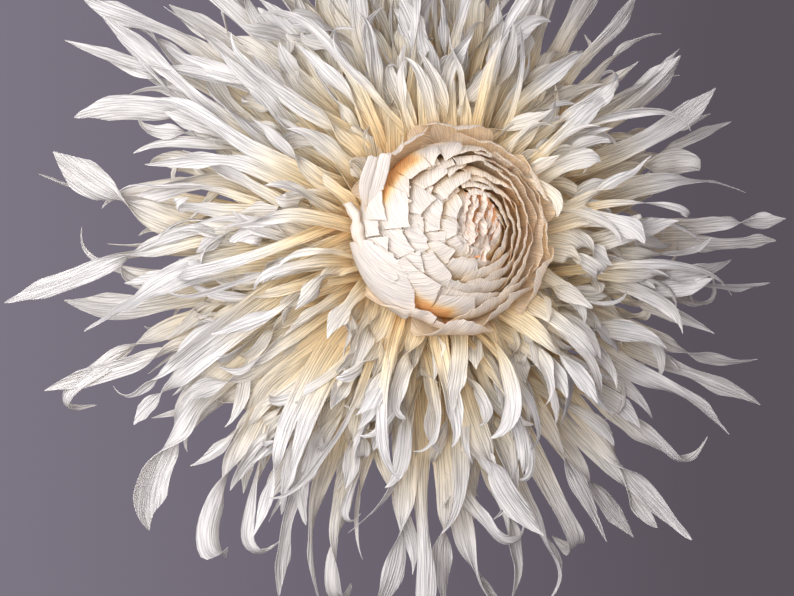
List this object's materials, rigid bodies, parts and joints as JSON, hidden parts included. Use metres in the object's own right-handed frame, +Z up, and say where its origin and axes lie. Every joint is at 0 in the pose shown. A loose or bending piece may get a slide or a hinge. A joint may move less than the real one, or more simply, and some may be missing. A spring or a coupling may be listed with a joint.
{
  "type": "giant paper flower",
  "caption": "Giant crepe paper flower for a wall: a round cupped bud ringed by rows of long, twisted, pointed petals, on a backing board with a hanging loop.",
  "frame": {"origin": "centre of the backing board's flat rear face, on the wall plane", "axes": "+Z up, +Y into the wall, so the flower faces -Y"},
  "size_m": [0.7127, 0.172, 0.7291],
  "materials": {
    "ray_crepe": "matte crepe, cream with paler tips",
    "bud_crepe": "matte crepe, off-white",
    "heart_crepe": "matte crepe, peach",
    "board_plywood": "raw plywood",
    "foam": "expanded foam beads",
    "loop_wire": "zinc plated"
  },
  "bodies": {
    "root": {"backing_board": "board_plywood", "hanging_loop": "loop_wire", "foam_core": "foam", "foam_ball": "foam", "ray_row_01": "ray_crepe", "ray_row_02": "ray_crepe", "ray_row_03": "ray_crepe", "ray_row_04": "ray_crepe", "ray_row_05": "ray_crepe", "ray_row_06": "ray_crepe", "ray_row_07": "ray_crepe", "ray_row_08": "ray_crepe", "ray_row_09": "ray_crepe", "ray_row_10": "ray_crepe", "bud_petal_1_1": "bud_crepe", "bud_petal_1_2": "bud_crepe", "bud_petal_1_3": "bud_crepe", "bud_petal_1_4": "bud_crepe", "bud_petal_1_5": "bud_crepe", "bud_petal_1_6": "bud_crepe", "bud_petal_2_1": "bud_crepe", "bud_petal_2_2": "bud_crepe", "bud_petal_2_3": "bud_crepe", "bud_petal_2_4": "bud_crepe", "bud_petal_2_5": "bud_crepe", "bud_petal_2_6": "bud_crepe", "bud_petal_3_1": "bud_crepe", "bud_petal_3_2": "bud_crepe", "bud_petal_3_3": "bud_crepe", "bud_petal_3_4": "bud_crepe", "bud_petal_3_5": "bud_crepe", "bud_petal_3_6": "bud_crepe", "bud_petal_4_1": "bud_crepe", "bud_petal_4_2": "bud_crepe", "bud_petal_4_3": "bud_crepe", "bud_petal_4_4": "bud_crepe", "bud_petal_4_5": "bud_crepe", "bud_petal_4_6": "bud_crepe", "bud_petal_5_1": "bud_crepe", "bud_petal_5_2": "bud_crepe", "bud_petal_5_3": "bud_crepe", "bud_petal_5_4": "bud_crepe", "bud_petal_5_5": "bud_crepe", "bud_petal_5_6": "bud_crepe", "bud_heart": "heart_crepe"}
  },
  "joints": []
}
